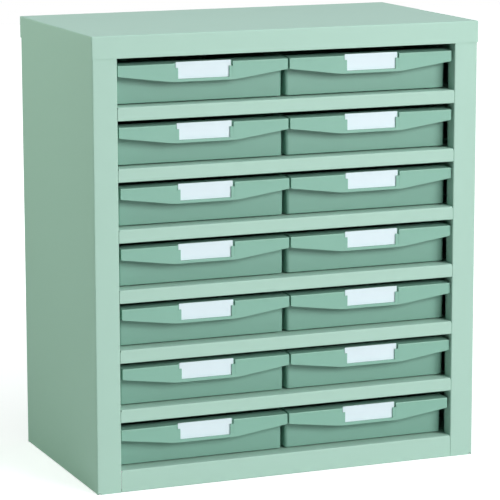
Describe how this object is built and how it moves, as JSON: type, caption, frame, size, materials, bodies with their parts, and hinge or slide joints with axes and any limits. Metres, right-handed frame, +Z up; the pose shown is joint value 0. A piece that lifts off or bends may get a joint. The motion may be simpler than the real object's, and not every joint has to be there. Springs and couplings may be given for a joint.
{
  "type": "metal drawer unit",
  "caption": "Upright folded-steel case with two columns of shallow sliding plastic drawers, each with a hanging finger pull and a label card.",
  "frame": {"origin": "middle of the footprint, on the surface that the unit stands on", "axes": "+Z up; -Y out of the front, the way the drawers pull out; +X to the right as seen from the front"},
  "size_m": [0.5522, 0.3072, 0.605],
  "materials": {
    "case_paint": "satin pale grey-green baked enamel on sheet steel",
    "guide_paint": "satin pale grey-green baked enamel, rubbed along the top edge",
    "drawer_plastic": "fine-grained moulded plastic, sage green",
    "label_card": "smooth blank white card",
    "rivet_aluminium": "dull drawn aluminium"
  },
  "bodies": {
    "case": {"left_side_panel": "case_paint", "right_side_panel": "case_paint", "top_cap": "case_paint", "top_rail": "case_paint", "back_panel": "case_paint", "back_panel_rivets": "rivet_aluminium", "shelf_1": "case_paint", "shelf_2": "case_paint", "shelf_3": "case_paint", "shelf_4": "case_paint", "shelf_5": "case_paint", "shelf_6": "case_paint", "bottom_shelf": "case_paint", "drawer_guides_1": "guide_paint", "drawer_guides_2": "guide_paint", "drawer_guides_3": "guide_paint", "drawer_guides_4": "guide_paint", "drawer_guides_5": "guide_paint", "drawer_guides_6": "guide_paint", "drawer_guides_7": "guide_paint"},
    "drawer_1_left": {"drawer_1_left": "drawer_plastic", "label_1_left": "label_card"},
    "drawer_1_right": {"drawer_1_right": "drawer_plastic", "label_1_right": "label_card"},
    "drawer_2_left": {"drawer_2_left": "drawer_plastic", "label_2_left": "label_card"},
    "drawer_2_right": {"drawer_2_right": "drawer_plastic", "label_2_right": "label_card"},
    "drawer_3_left": {"drawer_3_left": "drawer_plastic", "label_3_left": "label_card"},
    "drawer_3_right": {"drawer_3_right": "drawer_plastic", "label_3_right": "label_card"},
    "drawer_4_left": {"drawer_4_left": "drawer_plastic", "label_4_left": "label_card"},
    "drawer_4_right": {"drawer_4_right": "drawer_plastic", "label_4_right": "label_card"},
    "drawer_5_left": {"drawer_5_left": "drawer_plastic", "label_5_left": "label_card"},
    "drawer_5_right": {"drawer_5_right": "drawer_plastic", "label_5_right": "label_card"},
    "drawer_6_left": {"drawer_6_left": "drawer_plastic", "label_6_left": "label_card"},
    "drawer_6_right": {"drawer_6_right": "drawer_plastic", "label_6_right": "label_card"},
    "drawer_7_left": {"drawer_7_left": "drawer_plastic", "label_7_left": "label_card"},
    "drawer_7_right": {"drawer_7_right": "drawer_plastic", "label_7_right": "label_card"}
  },
  "joints": [
    {"name": "slide_1_left", "type": "slide", "parent": "case", "child": "drawer_1_left", "axis": [0, -1, 0], "range_m": [0, 0.22]},
    {"name": "slide_1_right", "type": "slide", "parent": "case", "child": "drawer_1_right", "axis": [0, -1, 0], "range_m": [0, 0.22]},
    {"name": "slide_2_left", "type": "slide", "parent": "case", "child": "drawer_2_left", "axis": [0, -1, 0], "range_m": [0, 0.22]},
    {"name": "slide_2_right", "type": "slide", "parent": "case", "child": "drawer_2_right", "axis": [0, -1, 0], "range_m": [0, 0.22]},
    {"name": "slide_3_left", "type": "slide", "parent": "case", "child": "drawer_3_left", "axis": [0, -1, 0], "range_m": [0, 0.22]},
    {"name": "slide_3_right", "type": "slide", "parent": "case", "child": "drawer_3_right", "axis": [0, -1, 0], "range_m": [0, 0.22]},
    {"name": "slide_4_left", "type": "slide", "parent": "case", "child": "drawer_4_left", "axis": [0, -1, 0], "range_m": [0, 0.22]},
    {"name": "slide_4_right", "type": "slide", "parent": "case", "child": "drawer_4_right", "axis": [0, -1, 0], "range_m": [0, 0.22]},
    {"name": "slide_5_left", "type": "slide", "parent": "case", "child": "drawer_5_left", "axis": [0, -1, 0], "range_m": [0, 0.22]},
    {"name": "slide_5_right", "type": "slide", "parent": "case", "child": "drawer_5_right", "axis": [0, -1, 0], "range_m": [0, 0.22]},
    {"name": "slide_6_left", "type": "slide", "parent": "case", "child": "drawer_6_left", "axis": [0, -1, 0], "range_m": [0, 0.22]},
    {"name": "slide_6_right", "type": "slide", "parent": "case", "child": "drawer_6_right", "axis": [0, -1, 0], "range_m": [0, 0.22]},
    {"name": "slide_7_left", "type": "slide", "parent": "case", "child": "drawer_7_left", "axis": [0, -1, 0], "range_m": [0, 0.22]},
    {"name": "slide_7_right", "type": "slide", "parent": "case", "child": "drawer_7_right", "axis": [0, -1, 0], "range_m": [0, 0.22]}
  ]
}
